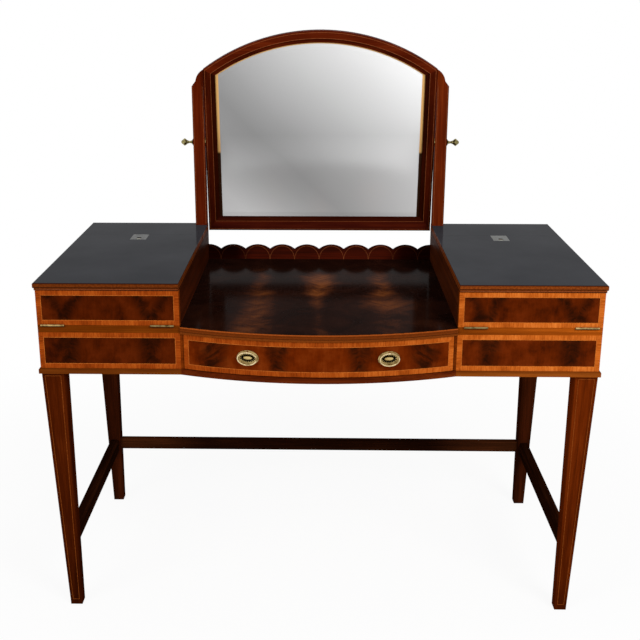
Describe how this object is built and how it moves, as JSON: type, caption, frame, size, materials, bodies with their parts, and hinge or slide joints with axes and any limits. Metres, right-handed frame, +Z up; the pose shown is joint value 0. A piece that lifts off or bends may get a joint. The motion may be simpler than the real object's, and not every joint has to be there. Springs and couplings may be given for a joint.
{
  "type": "dressing table",
  "caption": "Dressing table with flap-topped boxes either side of a sunk well, a bow-fronted drawer, an arched tilting mirror between uprights and tapered legs joined by stretchers.",
  "frame": {"origin": "middle of the object's floor area, on the floor", "axes": "+Z up, +X to the sitter's right, -Y towards the sitter (the front)"},
  "size_m": [1.22, 0.679, 1.3037],
  "materials": {
    "mahogany": "french-polished mahogany with satinwood banding",
    "dark_top": "near-black polished top",
    "lining_wood": "plain waxed lining wood",
    "brass": "antique brass",
    "mirror_plate": "silvered glass with a bevelled edge"
  },
  "bodies": {
    "table": {"back_rail": "lining_wood", "box_backs": "lining_wood", "drawer_guides": "mahogany", "drawer_kickers": "lining_wood", "drawer_rail": "mahogany", "drawer_runners": "lining_wood", "drawer_stops": "lining_wood", "front_rails": "mahogany", "gallery": "mahogany", "hinge_fixed_leaves": "brass", "left_apron": "mahogany", "left_base_board": "mahogany", "left_front_leg": "mahogany", "left_outer_side": "mahogany", "left_partition": "mahogany", "left_rear_leg": "mahogany", "left_rear_top": "dark_top", "left_stretcher": "mahogany", "left_upright": "mahogany", "pivot_washers": "brass", "rear_stretcher": "mahogany", "right_apron": "mahogany", "right_base_board": "mahogany", "right_front_leg": "mahogany", "right_outer_side": "mahogany", "right_partition": "mahogany", "right_rear_leg": "mahogany", "right_rear_top": "dark_top", "right_stretcher": "mahogany", "right_upright": "mahogany", "seam_panels": "lining_wood", "upright_blocks": "lining_wood", "well_top": "mahogany"},
    "left_cover": {"left_lid": "dark_top", "left_fall_front": "mahogany", "left_bolt_plate": "brass", "left_hinge_moving_leaves": "brass"},
    "right_cover": {"right_lid": "dark_top", "right_fall_front": "mahogany", "right_bolt_plate": "brass", "right_hinge_moving_leaves": "brass"},
    "left_bolt": {"left_bolt": "brass"},
    "right_bolt": {"right_bolt": "brass"},
    "drawer": {"drawer_front": "mahogany", "drawer_sides": "lining_wood", "drawer_back": "lining_wood", "drawer_bottom": "lining_wood", "pull_plates": "brass"},
    "left_pull_ring": {"left_pull_ring": "brass"},
    "right_pull_ring": {"right_pull_ring": "brass"},
    "mirror": {"mirror_arch_rail": "mahogany", "mirror_back_board": "lining_wood", "mirror_bottom_rail": "mahogany", "mirror_glass": "mirror_plate", "mirror_left_stile": "mahogany", "mirror_right_stile": "mahogany"},
    "left_knob": {"left_pivot_knob": "brass"},
    "right_knob": {"right_pivot_knob": "brass"}
  },
  "joints": [
    {"name": "left_cover_open", "type": "hinge", "parent": "table", "child": "left_cover", "pos_m": [-0.45225, -0.28752, 0.7065], "axis": [1, 0, 0], "range_deg": [0, 180]},
    {"name": "left_bolt_slide", "type": "slide", "parent": "left_cover", "child": "left_bolt", "axis": [0, 1, 0], "range_m": [0, 0.009]},
    {"name": "right_cover_open", "type": "hinge", "parent": "table", "child": "right_cover", "pos_m": [0.45225, -0.28752, 0.7065], "axis": [1, 0, 0], "range_deg": [0, 180]},
    {"name": "right_bolt_slide", "type": "slide", "parent": "right_cover", "child": "right_bolt", "axis": [0, 1, 0], "range_m": [0, 0.009]},
    {"name": "drawer_slide", "type": "slide", "parent": "table", "child": "drawer", "axis": [0, -1, 0], "range_m": [0, 0.36]},
    {"name": "left_pull_swing", "type": "hinge", "parent": "drawer", "child": "left_pull_ring", "pos_m": [-0.15126, -0.33022, 0.66225], "axis": [-0.9858, 0.1681, 0], "range_deg": [0, 85]},
    {"name": "right_pull_swing", "type": "hinge", "parent": "drawer", "child": "right_pull_ring", "pos_m": [0.15126, -0.33022, 0.66225], "axis": [-0.9858, -0.1681, 0], "range_deg": [0, 85]},
    {"name": "mirror_tilt", "type": "hinge", "parent": "table", "child": "mirror", "pos_m": [0, 0.30248, 1.02], "axis": [1, 0, 0], "range_deg": [-36.5, 23.5]},
    {"name": "left_knob_turn", "type": "hinge", "parent": "table", "child": "left_knob", "pos_m": [-0.3525, 0.30248, 1.02], "axis": [1, 0, 0], "range_deg": [-180, 180]},
    {"name": "right_knob_turn", "type": "hinge", "parent": "table", "child": "right_knob", "pos_m": [0.3525, 0.30248, 1.02], "axis": [1, 0, 0], "range_deg": [-180, 180]}
  ]
}
